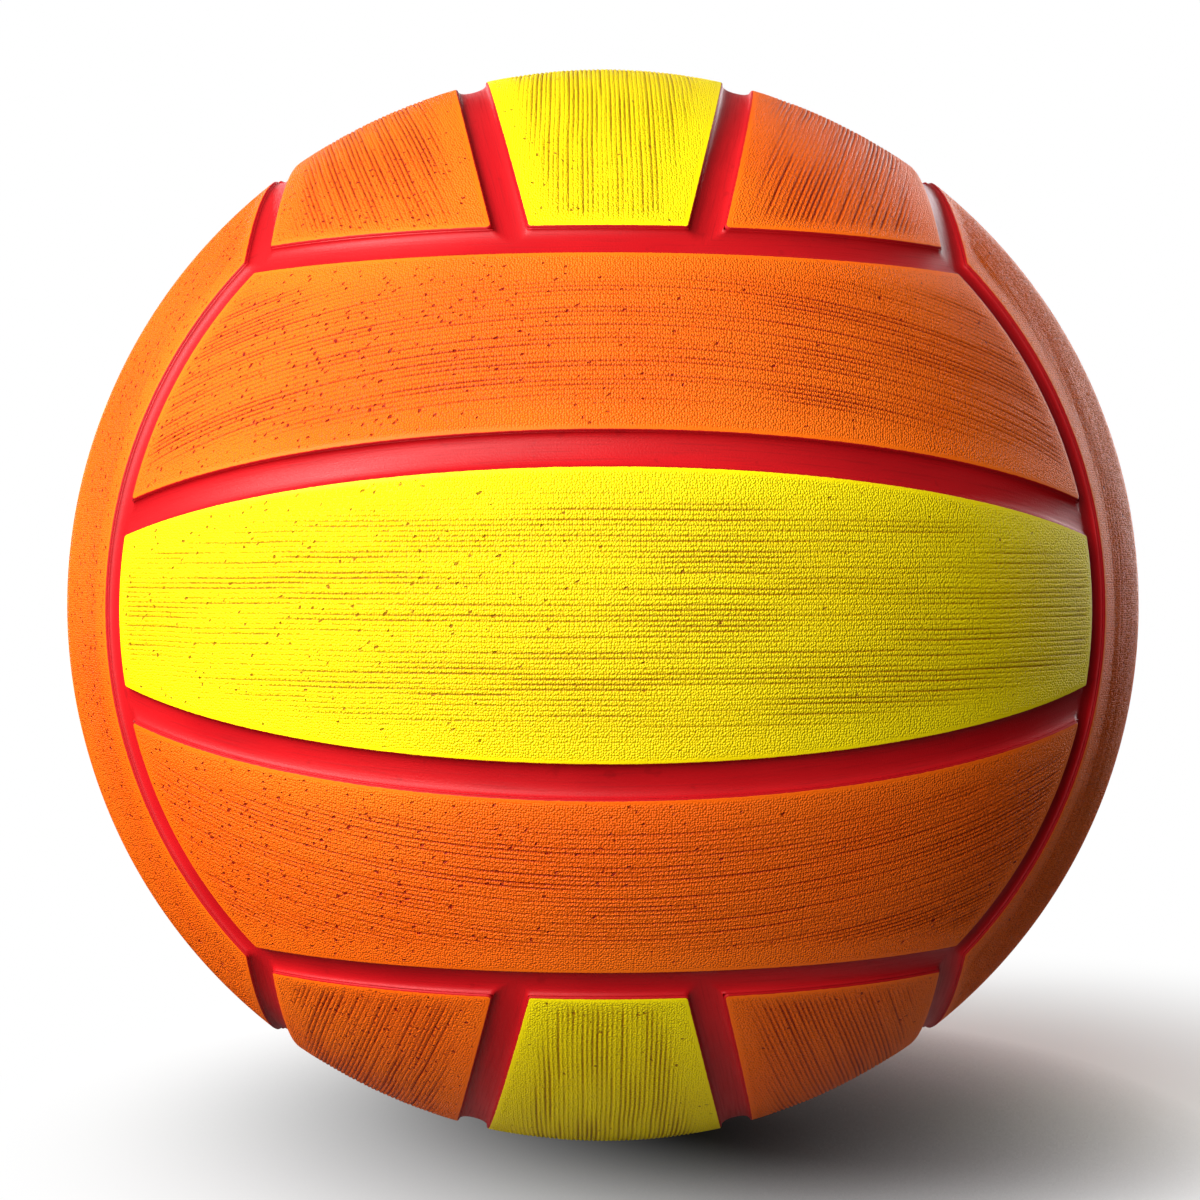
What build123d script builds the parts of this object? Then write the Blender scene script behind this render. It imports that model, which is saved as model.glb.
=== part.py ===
from build123d import *
from math import acos, cos, degrees, radians, sin, sqrt
import os

# A size 5 water polo ball, in millimetres, with its centre at the origin and +Z up.
# Eighteen cover panels lie on six faces, three to a face, and sit in pockets of a rubber
# carcass. Raised ribs of the carcass fill the seams, and each rib is hollowed into a channel
# with sloping sides that the fingers hold. A thread winding and an air bladder lie under the
# carcass, and a needle valve comes out through the middle panel of the back face.

# Ball and cover
ball_diameter = 220.0
panel_thickness = 1.5
panel_edge_radius = 0.4

# Seams
seam_width = 5.8
channel_depth = 1.4
channel_floor_width = 2.4
rib_drop = 0.35
rib_land = 0.3
inner_seam_angle = 14.3

# Layers under the cover
bond_gap = 0.05
carcass_base = 0.45
winding_thickness = 0.3
bladder_thickness = 0.5

# Valve
valve_clearance = 0.1
neck_radius = 5.0
neck_recess = 0.5
neck_chamfer = 0.3
flange_radius = 13.0
flange_thickness = 1.0
boss_radius = 6.0
boss_tip_radius = 4.6
boss_length = 14.0
core_radius = 2.8
core_fit = 0.05
bulb_radius = 3.8
bulb_depth = 5.0
bulb_land = 1.5
bulb_taper = 3.0
needle_radius = 1.2
needle_depth = 7.0

# Radii of the layers, from the outside in
ball_radius = ball_diameter / 2
rib_radius = ball_radius - rib_drop
channel_floor = ball_radius - channel_depth
panel_floor = ball_radius - panel_thickness
pocket_floor = panel_floor - bond_gap
carcass_inside = pocket_floor - carcass_base
winding_outside = carcass_inside - bond_gap
winding_inside = winding_outside - winding_thickness
bladder_outside = winding_inside - bond_gap
bladder_inside = bladder_outside - bladder_thickness
flange_outside = bladder_inside - bond_gap
flange_inside = flange_outside - flange_thickness

# Heights on the valve's axis, from the ball's centre
valve_top = ball_radius - neck_recess
valve_tip = flange_inside - boss_length
bulb_top = valve_top - bulb_depth
bulb_wide = bulb_top - bulb_land
bulb_tip = bulb_wide - bulb_taper

# The six faces meet at the corners of a cube, which are this far from a face's centre.
corner_angle = degrees(acos(1 / sqrt(3)))
corner_turn = 45.0

# How far cutting tools reach past the surfaces they cut
cut_margin = 0.5
cut_reach = 25.0

centre = Vector(0, 0, 0)


def face_plane(normal, strip):
    """Frame of a face, with X along its strips, Y across them and Z out of the ball."""
    return Plane(origin=centre, x_dir=strip, z_dir=normal)


def tilted(frame, turn):
    """Direction out of a face that is turned across its strips by an angle in degrees."""
    return frame.z_dir * cos(radians(turn)) + frame.y_dir * sin(radians(turn))


def upright_plane(across, upright):
    """Sketch plane through the centre with X across and Y upright."""
    return Plane(origin=centre, x_dir=across, z_dir=across.cross(upright))


def ring_sector(inner_radius, outer_radius, start, sweep, slant=0):
    """Part of a ring about the sketch's origin, between two angles from its X axis.

    A slant turns the start and the end on the outer arc from those on the inner arc.
    """
    with BuildLine() as outline:
        outer_arc = CenterArc((0, 0), outer_radius, start + slant, sweep)
        inner_arc = CenterArc((0, 0), inner_radius, start, sweep)
        Line(outer_arc @ 0, inner_arc @ 0)
        Line(outer_arc @ 1, inner_arc @ 1)
    make_face(outline.edges())


def arc_angle(length):
    """Angle at the ball's centre of a length along the cover, in degrees."""
    return degrees(length / ball_radius)


def cut_end_wall(pole, across, beyond, radii, gaps):
    """Cut a wall along an end seam, and what lies beyond it, round the pole of that seam."""
    wall_angles = [corner_angle - beyond * arc_angle(gap) for gap in gaps]
    with BuildSketch(upright_plane(across, pole)) as profile:
        ring_sector(*radii, 90 - wall_angles[0], -beyond * cut_reach, wall_angles[0] - wall_angles[1])
    revolve(profile.sketch, axis=Axis(centre, pole), mode=Mode.SUBTRACT)


def cut_inner_wall(pole, across, radii, gaps):
    """Cut a wall along an inner seam, and the half seam behind it, round the pole of that seam."""
    with BuildSketch(upright_plane(across, pole)) as profile:
        with BuildLine() as outline:
            Polyline(
                (radii[0], -seam_width),
                (radii[1], -seam_width),
                (radii[1], gaps[1]),
                (radii[0], gaps[0]),
                close=True,
            )
        make_face(outline.edges())
    revolve(profile.sketch, axis=Axis(centre, pole), mode=Mode.SUBTRACT)


def strip_block(frame, middle, radii, gaps):
    """One strip of a face, between two radii, whose walls stand off the middle of each seam.

    The middle strip lies between the two inner seams. An outer strip lies on the +Y side of
    the frame, from an inner seam to the neighbouring face. The walls run straight from the
    first gap, at the inner radius, to the second, at the outer radius.
    """
    first_turn = -inner_seam_angle if middle else inner_seam_angle
    last_turn = inner_seam_angle if middle else corner_turn
    rise = (gaps[1] - gaps[0]) / (radii[1] - radii[0])
    cut_radii = (radii[0] - cut_margin, radii[1] + cut_margin)
    cut_gaps = (gaps[0] - rise * cut_margin, gaps[1] + rise * cut_margin)
    with BuildPart() as block:
        with BuildSketch(upright_plane(frame.x_dir, tilted(frame, first_turn))):
            ring_sector(*radii, 90 - corner_angle, 2 * corner_angle)
        revolve(axis=Axis(centre, -frame.x_dir), revolution_arc=last_turn - first_turn)
        cut_end_wall(frame.z_dir, frame.x_dir, 1, cut_radii, cut_gaps)
        cut_inner_wall(tilted(frame, first_turn + 90), frame.x_dir, cut_radii, cut_gaps)
        if middle:
            cut_inner_wall(tilted(frame, last_turn - 90), frame.x_dir, cut_radii, cut_gaps)
        else:
            cut_end_wall(frame.y_dir, frame.x_dir, -1, cut_radii, cut_gaps)
    return block.part


right, back, top = Vector(1, 0, 0), Vector(0, 1, 0), Vector(0, 0, 1)

# Each face has its outward direction, the direction of its strips, and the names of its
# strips on the +Y and -Y sides of its frame.
faces = {
    "front": (-back, right, "upper", "lower"),
    "back": (back, right, "lower", "upper"),
    "right": (right, top, "front", "rear"),
    "left": (-right, top, "rear", "front"),
    "top": (top, back, "left", "right"),
    "bottom": (-top, back, "right", "left"),
}

os.makedirs("parts", exist_ok=True)

# Strips of all faces, as the frame that each is made in and whether it is a middle strip
strips = {}
for face, (normal, strip, plus_name, minus_name) in faces.items():
    frame = face_plane(normal, strip)
    turned = face_plane(normal, -strip)
    strips[f"{face}_{plus_name}_panel"] = (frame, False)
    strips[f"{face}_middle_panel"] = (frame, True)
    strips[f"{face}_{minus_name}_panel"] = (turned, False)

# Cover panels
panel_gap = seam_width / 2
valve_plane = Plane(origin=centre, x_dir=right, z_dir=back)
valve_panel = "back_middle_panel"
for name, (frame, middle) in strips.items():
    block = strip_block(frame, middle, (panel_floor, ball_radius), (panel_gap, panel_gap))
    with BuildPart() as panel:
        add(block)
        outer_face = panel.faces().sort_by(SortBy.AREA)[-1]
        fillet(outer_face.edges(), panel_edge_radius)
        if name == valve_panel:
            with BuildSketch(valve_plane):
                Circle(neck_radius + valve_clearance)
            extrude(amount=ball_diameter, mode=Mode.SUBTRACT)
    panel.part.label = name
    export_step(panel.part, f"parts/{name}.step")

# Channels of all seams, as what the strips between the lips of the ribs leave of a round shell
lip_gap = panel_gap - rib_land
floor_gap = channel_floor_width / 2
lip_rise = (lip_gap - floor_gap) / (rib_radius - channel_floor)
island_margin = 2 * cut_margin
island_radii = (channel_floor - island_margin, rib_radius + island_margin)
island_gaps = (floor_gap - lip_rise * island_margin, lip_gap + lip_rise * island_margin)
islands = [strip_block(*strip, island_radii, island_gaps) for strip in strips.values()]
with BuildPart() as channels:
    with BuildSketch(Plane.XZ):
        ring_sector(channel_floor, rib_radius + cut_margin, -90, 180)
    revolve(axis=Axis.Z)
    add(islands, mode=Mode.SUBTRACT)

# Carcass, with a pocket for each panel and a channel along each seam
pocket_radii = (pocket_floor, ball_radius)
pocket_gaps = (panel_gap - bond_gap, panel_gap - bond_gap)
pockets = [strip_block(*strip, pocket_radii, pocket_gaps) for strip in strips.values()]
with BuildPart() as carcass:
    with BuildSketch(Plane.XZ):
        ring_sector(carcass_inside, rib_radius, -90, 180)
    revolve(axis=Axis.Z)
    add(pockets, mode=Mode.SUBTRACT)
    add(channels.part, mode=Mode.SUBTRACT)
    with BuildSketch(valve_plane):
        Circle(neck_radius + valve_clearance)
    extrude(amount=ball_diameter, mode=Mode.SUBTRACT)
carcass.part.label = "carcass"
export_step(carcass.part, "parts/carcass.step")

# Round layers under the carcass, each with a hole for the neck of the valve
layers = {
    "thread_winding": (winding_inside, winding_outside),
    "bladder": (bladder_inside, bladder_outside),
}
for name, radii in layers.items():
    with BuildPart() as layer:
        with BuildSketch(Plane.XZ):
            ring_sector(*radii, -90, 180)
        revolve(axis=Axis.Z)
        with BuildSketch(valve_plane):
            Circle(neck_radius + valve_clearance)
        extrude(amount=ball_diameter, mode=Mode.SUBTRACT)
    layer.part.label = name
    export_step(layer.part, f"parts/{name}.step")

# Valve housing, turned on the valve's axis: a flange under the bladder, a neck out to the
# cover and a tapered boss into the air space
valve_profile = upright_plane(right, back)
valve_axis = Axis(centre, back)


def core_outline(grow):
    """Half outline of the valve core, or of the cavity that holds it when grown."""
    shank = core_radius + grow
    bulb = bulb_radius + grow
    with BuildLine() as outline:
        Polyline(
            (0, valve_top),
            (shank, valve_top),
            (shank, bulb_top + grow),
            (bulb, bulb_top + grow),
            (bulb, bulb_wide),
            (shank, bulb_tip),
            (shank, valve_tip),
            (0, valve_tip),
            close=True,
        )
    return outline.edges()


def height_at(radius, distance):
    """Height on a round layer of a given radius, at a distance from the valve's axis."""
    return sqrt(radius**2 - distance**2)


with BuildPart() as valve_housing:
    with BuildSketch(valve_profile):
        with BuildLine():
            Line((0, valve_tip), (boss_tip_radius, valve_tip))
            Line((boss_tip_radius, valve_tip), (boss_radius, height_at(flange_inside, boss_radius)))
            RadiusArc(
                (boss_radius, height_at(flange_inside, boss_radius)),
                (flange_radius, height_at(flange_inside, flange_radius)),
                flange_inside,
            )
            Line(
                (flange_radius, height_at(flange_inside, flange_radius)),
                (flange_radius, height_at(flange_outside, flange_radius)),
            )
            RadiusArc(
                (flange_radius, height_at(flange_outside, flange_radius)),
                (neck_radius, height_at(flange_outside, neck_radius)),
                -flange_outside,
            )
            Line(
                (neck_radius, height_at(flange_outside, neck_radius)),
                (neck_radius, valve_top - neck_chamfer),
            )
            Line((neck_radius, valve_top - neck_chamfer), (neck_radius - neck_chamfer, valve_top))
            Line((neck_radius - neck_chamfer, valve_top), (0, valve_top))
            Line((0, valve_top), (0, valve_tip))
        make_face()
        make_face(core_outline(core_fit), mode=Mode.SUBTRACT)
    revolve(axis=valve_axis)
valve_housing.part.label = "valve_housing"
export_step(valve_housing.part, "parts/valve_housing.step")

# Valve core, with the hole that leads the needle to its slit
with BuildPart() as valve_core:
    with BuildSketch(valve_profile):
        make_face(core_outline(0))
    revolve(axis=valve_axis)
    with BuildSketch(valve_plane.offset(valve_top)):
        Circle(needle_radius)
    extrude(amount=-needle_depth, mode=Mode.SUBTRACT)
valve_core.part.label = "valve_core"
export_step(valve_core.part, "parts/valve_core.step")
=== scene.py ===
"""Looks of a size 5 water polo ball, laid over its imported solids.

Eighteen pebbled rubber panels lie on six faces, three strips to a face. A red carcass shows
between them as hollow finger channels, and a needle valve sits in the back middle panel.
"""

import logging
import math
from dataclasses import dataclass, field
from enum import Enum
from typing import Iterator

import bmesh
import bpy
import numpy as np
from bmesh.types import BMesh, BMVert
from bpy.types import ID, Material, Mesh, Node, NodeSocket, NodeTree, Object
from mathutils import Matrix, Vector


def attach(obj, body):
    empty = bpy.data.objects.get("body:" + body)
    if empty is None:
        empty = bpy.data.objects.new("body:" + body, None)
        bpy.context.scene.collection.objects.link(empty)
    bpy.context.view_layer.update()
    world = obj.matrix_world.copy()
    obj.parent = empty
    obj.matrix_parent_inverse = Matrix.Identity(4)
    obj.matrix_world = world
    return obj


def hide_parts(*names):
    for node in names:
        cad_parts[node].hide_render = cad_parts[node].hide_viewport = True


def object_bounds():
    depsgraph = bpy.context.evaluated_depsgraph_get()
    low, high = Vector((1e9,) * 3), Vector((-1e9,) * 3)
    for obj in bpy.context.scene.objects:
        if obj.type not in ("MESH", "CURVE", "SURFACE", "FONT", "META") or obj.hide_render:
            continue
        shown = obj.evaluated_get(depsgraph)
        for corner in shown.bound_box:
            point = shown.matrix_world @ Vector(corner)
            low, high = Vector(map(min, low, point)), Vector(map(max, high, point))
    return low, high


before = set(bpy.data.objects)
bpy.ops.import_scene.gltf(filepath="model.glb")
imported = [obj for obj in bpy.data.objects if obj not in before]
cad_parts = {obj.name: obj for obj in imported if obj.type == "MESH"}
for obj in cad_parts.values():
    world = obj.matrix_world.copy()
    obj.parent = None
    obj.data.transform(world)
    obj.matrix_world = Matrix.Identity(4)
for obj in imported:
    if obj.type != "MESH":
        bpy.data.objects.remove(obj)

LOG = logging.getLogger("water_polo_ball")
MM = 0.001
CAD_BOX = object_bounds()
BODY = "root"
VALVE_PANEL = "back_middle_panel"
CUT_TOLERANCE = 1e-7
SPARE_KNOTS = 3
# Numbers of a mix node's colour sockets, which share their names with its other sockets.
MIX_FACTOR, MIX_LOW, MIX_HIGH, MIX_RESULT = 0, 6, 7, 2

Band = tuple[float, float]
Spot = tuple[float, float, float]
Colour = tuple[float, float, float, float]


class Face(Enum):
    """A face of the ball: its outward direction, its strips' direction and its outer strips."""

    FRONT = ((0, -1, 0), (1, 0, 0), "upper", "lower")
    BACK = ((0, 1, 0), (1, 0, 0), "lower", "upper")
    RIGHT = ((1, 0, 0), (0, 0, 1), "front", "rear")
    LEFT = ((-1, 0, 0), (0, 0, 1), "rear", "front")
    TOP = ((0, 0, 1), (0, 1, 0), "left", "right")
    BOTTOM = ((0, 0, -1), (0, 1, 0), "right", "left")


class Place(Enum):
    """Where a strip lies on its face."""

    MIDDLE = "middle"
    OUTER = "outer"


@dataclass(frozen=True)
class Edge:
    """A plane along one edge of a strip, with its normal pointing away from the strip."""

    normal: Vector
    offset: float

    def meet(self, other: "Edge", radius: float, side: Vector) -> Vector:
        """Find where two edges cross on a sphere.

        Args:
            other: The second edge.
            radius: Radius of the sphere about the ball's centre.
            side: Direction that picks one of the two crossings.

        Returns:
            The crossing on that side.
        """
        lean = self.normal.dot(other.normal)
        scale = 1 / (1 - lean * lean)
        foot = self.normal * ((self.offset - lean * other.offset) * scale)
        foot += other.normal * ((other.offset - lean * self.offset) * scale)
        line = self.normal.cross(other.normal).normalized()
        reach = math.sqrt(radius * radius - foot.length_squared)
        return foot + line * math.copysign(reach, line.dot(side))

    def outward(self, point: Vector) -> Vector:
        """Direction out of the strip that is level with the ball's surface at a point."""
        up = point.normalized()
        return (self.normal - up * self.normal.dot(up)).normalized()

    def arc(self, start: Vector, end: Vector, steps: int) -> list[Vector]:
        """Points along the edge, from a start up to but not including an end.

        Args:
            start: First point, on the edge.
            end: Point on the edge where the next arc starts.
            steps: Number of points.

        Returns:
            The points, evenly spaced on the short way round.
        """
        centre = self.normal * self.offset
        first, last = start - centre, end - centre
        turn = math.atan2(self.normal.dot(first.cross(last)), first.dot(last))
        return [
            centre + Matrix.Rotation(turn * step / steps, 3, self.normal) @ first
            for step in range(steps)
        ]


@dataclass(frozen=True)
class SeamLayout:
    """Sizes that place the seams on the ball."""

    ball_radius: float
    seam_width: float = 5.8 * MM
    inner_turn: float = math.radians(14.3)
    corner_angle: float = math.acos(1 / math.sqrt(3))
    outer_row_turn: float = math.radians(25)
    loop_step: float = 1.15 * MM

    @property
    def panel_gap(self) -> float:
        """Distance from the middle of a seam to a panel's wall."""
        return self.seam_width / 2

    def steps(self, angle: float, circle: float = 1) -> int:
        """Number of loop points over an angle on a circle, as a share of the ball's radius."""
        return round(angle * circle * self.ball_radius / self.loop_step)

    @property
    def end_circle(self) -> float:
        """Radius of the circle of an end seam, as a share of the ball's radius."""
        return math.sin(self.corner_angle)

    @property
    def middle_end_angle(self) -> float:
        """Half the angle that the end of a middle strip takes on the circle of its end seam."""
        return math.asin(math.tan(self.inner_turn) / math.tan(self.corner_angle))

    @property
    def inner_steps(self) -> int:
        """Loop points along an inner seam."""
        half = math.acos(math.cos(self.corner_angle) / math.cos(self.inner_turn))
        return self.steps(2 * half)

    @property
    def middle_end_steps(self) -> int:
        """Loop points along the end of a middle strip."""
        return self.steps(2 * self.middle_end_angle, self.end_circle)

    @property
    def outer_end_steps(self) -> int:
        """Loop points along the end of an outer strip."""
        return self.steps(math.pi / 4 - self.middle_end_angle, self.end_circle)


@dataclass(frozen=True)
class Strip:
    """One strip of a face, with its axes along, across and out of the face.

    An outer strip lies on the side that its across axis points to.
    """

    name: str
    along: Vector
    across: Vector
    out: Vector
    place: Place
    layout: SeamLayout

    def turned(self, turn: float) -> Vector:
        """Direction out of the face, turned across the strips by an angle."""
        return self.out * math.cos(turn) + self.across * math.sin(turn)

    @property
    def row_turn(self) -> float:
        """Turn of the great circle that the strip's rows run along."""
        return 0.0 if self.place is Place.MIDDLE else self.layout.outer_row_turn

    @property
    def row_axes(self) -> tuple[Vector, Vector, Vector]:
        """Axes along the rows, across them and out of the ball, at the strip's middle."""
        return self.along, self.turned(self.row_turn + math.pi / 2), self.turned(self.row_turn)

    def edges(self, radius: float, gap: float) -> tuple[Edge, Edge, Edge]:
        """Planes along the lower edge, the upper edge and both ends of the strip.

        Args:
            radius: Radius at which the planes cut.
            gap: Distance from the middle of each seam.

        Returns:
            The lower, upper and end planes.
        """
        layout = self.layout
        shift = gap / layout.ball_radius
        end = Edge(-self.out, -radius * math.cos(layout.corner_angle - shift))
        if self.place is Place.MIDDLE:
            lower = Edge(-self.turned(math.pi / 2 - layout.inner_turn), -gap)
            upper = Edge(-self.turned(layout.inner_turn - math.pi / 2), -gap)
        else:
            lower = Edge(-self.turned(math.pi / 2 + layout.inner_turn), -gap)
            upper = Edge(self.across.copy(), radius * math.cos(layout.corner_angle + shift))
        return lower, upper, end

    def corners(self, radius: float, gap: float) -> list[tuple[Vector, Edge, Edge]]:
        """The four corners of the strip, each with its two edges, in order round the strip."""
        lower, upper, end = self.edges(radius, gap)
        order = ((lower, -1), (lower, 1), (upper, 1), (upper, -1))
        return [(side.meet(end, radius, self.along * way), side, end) for side, way in order]

    def loop(self, radius: float, gap: float) -> list[Vector]:
        """Closed loop of points round the strip, which match those of its neighbours.

        Args:
            radius: Radius of the loop's points.
            gap: Distance from the middle of each seam.

        Returns:
            The points in order.
        """
        layout = self.layout
        lower, upper, end = self.edges(radius, gap)
        near_left, near_right, far_right, far_left = (c[0] for c in self.corners(radius, gap))
        points = lower.arc(near_left, near_right, layout.inner_steps)
        if self.place is Place.MIDDLE:
            points += end.arc(near_right, far_right, layout.middle_end_steps)
            points += upper.arc(far_right, far_left, layout.inner_steps)
            points += end.arc(far_left, near_left, layout.middle_end_steps)
            return points
        lean = (math.cos(layout.inner_turn), math.sin(layout.inner_turn))
        right_seam = Edge(self.along * lean[0] - self.across * lean[1], 0.0)
        left_seam = Edge(self.along * lean[0] + self.across * lean[1], 0.0)
        right_stop = upper.meet(right_seam, radius, self.out)
        left_stop = upper.meet(left_seam, radius, self.out)
        points += end.arc(near_right, far_right, layout.outer_end_steps)
        points += upper.arc(far_right, right_stop, layout.outer_end_steps)
        points += upper.arc(right_stop, left_stop, layout.middle_end_steps)
        points += upper.arc(left_stop, far_left, layout.outer_end_steps)
        points += end.arc(far_left, near_left, layout.outer_end_steps)
        return points

    def flat(self, points: np.ndarray) -> np.ndarray:
        """Unroll points of the ball along the strip's rows.

        Args:
            points: Positions, one to a row.

        Returns:
            Distances along and across the rows, in metres, one pair to a row.
        """
        along, across, out = (np.array(axis) for axis in self.row_axes)
        unit = directions(points)
        turn = np.arctan2(unit @ along, unit @ out)
        return np.column_stack((turn, rise_over(unit, across))) * self.layout.ball_radius

    def wrap(self, flat: np.ndarray, radius: float) -> np.ndarray:
        """Lay flat distances along and across the rows on a sphere.

        Args:
            flat: Distances along and across the rows, one pair to a row.
            radius: Radius of the sphere.

        Returns:
            Positions, one to a row.
        """
        along, across, out = (np.array(axis) for axis in self.row_axes)
        turn, rise = (flat / self.layout.ball_radius).T
        level = np.cos(rise)
        parts = (level * np.sin(turn), np.sin(rise), level * np.cos(turn))
        return radius * sum(np.outer(part, axis) for part, axis in zip(parts, (along, across, out)))

    def clear_of_edges(self, points: np.ndarray) -> tuple[np.ndarray, np.ndarray]:
        """Distances from the panel's walls.

        Args:
            points: Positions, one to a row.

        Returns:
            Distance from the nearer long wall and from the nearer end wall, in metres.
        """
        layout = self.layout
        unit = directions(points)
        lower, upper, _ = self.edges(layout.ball_radius, 0.0)
        below = rise_over(-unit, lower.normal)
        if self.place is Place.MIDDLE:
            above = rise_over(-unit, upper.normal)
        else:
            above = turn_from(unit, upper.normal) - layout.corner_angle
        ends = layout.corner_angle - turn_from(unit, self.out)
        sides = np.minimum(below, above) * layout.ball_radius
        return sides - layout.panel_gap, ends * layout.ball_radius - layout.panel_gap

    def patch(self, radius: float, gap: float, steps: Band) -> BMesh:
        """Lay a grid along the strip's rows and trim it to the strip's edges.

        Args:
            radius: Radius of the patch.
            gap: Distance of its edges from the middle of each seam.
            steps: Spacing of the grid along and across the rows.

        Returns:
            A new bmesh of the trimmed patch, facing outwards.
        """
        corners = [corner for corner, _, _ in self.corners(radius, gap)]
        lower, upper, end = self.edges(radius, gap)
        sides = zip((lower, end, upper, end), ring_pairs(corners))
        crowns = [edge.arc(*stops, 2)[1] for edge, stops in sides]
        reach = self.flat(np.array(corners + crowns))
        low = np.floor(reach.min(axis=0) / steps).astype(int) - 1
        counts = np.ceil(reach.max(axis=0) / steps).astype(int) + 1 - low
        half = 0.5
        bm = bmesh.new()
        bmesh.ops.create_grid(bm, x_segments=int(counts[0]), y_segments=int(counts[1]), size=half)
        grid = np.array([vert.co[:2] for vert in bm.verts]) + half
        move_all(bm, self.wrap((np.rint(grid * counts) + low) * steps, radius))
        for edge in (lower, upper, end):
            trim(bm, edge)
        return bm


def ring_pairs(loop: list) -> list[tuple]:
    """Each item of a closed loop with the one after it."""
    return list(zip(loop, loop[1:] + loop[:1]))


def directions(points: np.ndarray) -> np.ndarray:
    """Directions of points from the ball's centre, one to a row."""
    return points / np.linalg.norm(points, axis=1, keepdims=True)


def rise_over(unit: np.ndarray, axis: Vector) -> np.ndarray:
    """Angles of directions over the plane that an axis stands on."""
    return np.arcsin(np.clip(unit @ np.array(axis), -1, 1))


def turn_from(unit: np.ndarray, axis: Vector) -> np.ndarray:
    """Angles of directions from an axis."""
    return np.arccos(np.clip(unit @ np.array(axis), -1, 1))


def places_of(bm: BMesh) -> np.ndarray:
    """Positions of all vertices of a bmesh, one to a row."""
    return np.array([vert.co[:] for vert in bm.verts])


def move_all(bm: BMesh, places: np.ndarray) -> None:
    """Move all vertices of a bmesh to new places, given in their order."""
    for vert, place in zip(bm.verts, places):
        vert.co = place


def trim(bm: BMesh, edge: Edge, geometry: list | None = None) -> list:
    """Cut away what lies beyond an edge.

    Args:
        bm: The bmesh to cut.
        edge: The edge to cut along.
        geometry: The part of the bmesh to cut, or all of it.

    Returns:
        What is left of that part.
    """
    cut = bmesh.ops.bisect_plane(
        bm,
        geom=geometry or bm.verts[:] + bm.edges[:] + bm.faces[:],
        dist=CUT_TOLERANCE,
        plane_co=edge.normal * edge.offset,
        plane_no=edge.normal,
        clear_outer=True,
    )
    return [item for item in cut["geom"] if item.is_valid]


def geometry_round(bm: BMesh, point: Vector, reach: float) -> list:
    """List what lies round a point of a bmesh.

    Args:
        bm: The bmesh.
        point: Middle of the region.
        reach: Radius of the region.

    Returns:
        The vertices, edges and faces of all faces that reach into the region.
    """
    inside = (vert for vert in bm.verts if (vert.co - point).length < reach)
    faces = dict.fromkeys(face for vert in inside for face in vert.link_faces)
    edges = dict.fromkeys(edge for face in faces for edge in face.edges)
    verts = dict.fromkeys(vert for face in faces for vert in face.verts)
    return [*verts, *edges, *faces]


def smooth_step(low: float, high: float, value: np.ndarray) -> np.ndarray:
    """Rise smoothly from 0 at a low value to 1 at a high one."""
    share = np.clip((value - low) / (high - low), 0, 1)
    return share * share * (3 - 2 * share)


def drift(table: np.ndarray, first: np.ndarray, second: np.ndarray) -> np.ndarray:
    """Read a smoothly varying value between the random knots of a table.

    Args:
        table: Random values at the knots.
        first: Places along the table's first axis, in knots.
        second: Places along its second axis, in knots.

    Returns:
        The values at those places.
    """
    low_first = np.clip(np.floor(first).astype(int), 0, table.shape[0] - 2)
    low_second = np.clip(np.floor(second).astype(int), 0, table.shape[1] - 2)
    share_first = smooth_step(0, 1, first - low_first)
    share_second = smooth_step(0, 1, second - low_second)
    near = table[low_first, low_second] * (1 - share_first)
    near = near + table[low_first + 1, low_second] * share_first
    far = table[low_first, low_second + 1] * (1 - share_first)
    far = far + table[low_first + 1, low_second + 1] * share_first
    return near * (1 - share_second) + far * share_second


def extrude_loop(bm: BMesh, loop: list[BMVert]) -> list[BMVert]:
    """Extrude a closed loop of vertices.

    Args:
        bm: The bmesh that holds the loop.
        loop: Vertices of the loop, each joined to the next.

    Returns:
        The new vertices, in the same order and still in place.
    """
    edges = [bm.edges.get(pair) for pair in ring_pairs(loop)]
    made = bmesh.ops.extrude_edge_only(bm, edges=edges)["geom"]
    new = {item for item in made if isinstance(item, BMVert)}
    return [
        next(edge.other_vert(vert) for edge in vert.link_edges if edge.other_vert(vert) in new)
        for vert in loop
    ]


def rim_loop(bm: BMesh) -> list[BMVert]:
    """Follow the one open rim of a bmesh.

    Args:
        bm: The bmesh.

    Returns:
        The rim's vertices in order.
    """
    rim = [edge for edge in bm.edges if edge.is_boundary]
    open_edges = set(rim)
    last = rim[0]
    loop = list(last.verts)
    while True:
        last = next(e for e in loop[-1].link_edges if e in open_edges and e is not last)
        vert = last.other_vert(loop[-1])
        if vert is loop[0]:
            return loop
        loop.append(vert)


def mesh_from(bm: BMesh, name: str) -> Mesh:
    """Turn a bmesh into a mesh.

    Args:
        bm: The finished shape, which is freed.
        name: Name of the mesh.

    Returns:
        The mesh.
    """
    mesh = bpy.data.meshes.new(name)
    bm.to_mesh(mesh)
    bm.free()
    return mesh


def put_in_scene(name: str, data: ID) -> Object:
    """Put a mesh, a lamp or a camera in the scene.

    Args:
        name: Name of the object.
        data: What it shows.

    Returns:
        The object.
    """
    holder = bpy.data.objects.new(name, data)
    bpy.context.scene.collection.objects.link(holder)
    return holder


def new_piece(bm: BMesh, name: str, material: Material, slot: str, *nodes: str) -> Object:
    """Make a piece of the ball from a bmesh and let it ride on the ball.

    Args:
        bm: Its finished shape, which is freed.
        name: Name of the piece.
        material: Its finish.
        slot: The record's material slot that the finish stands for; not used.
        nodes: The solids that the piece replaces.

    Returns:
        The piece.
    """
    mesh = mesh_from(bm, name)
    mesh.shade_smooth()
    mesh.materials.append(material)
    piece = put_in_scene(name, mesh)
    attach(piece, BODY)
    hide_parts(*nodes)
    LOG.info("%s: %d faces", name, len(mesh.polygons))
    return piece


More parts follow.
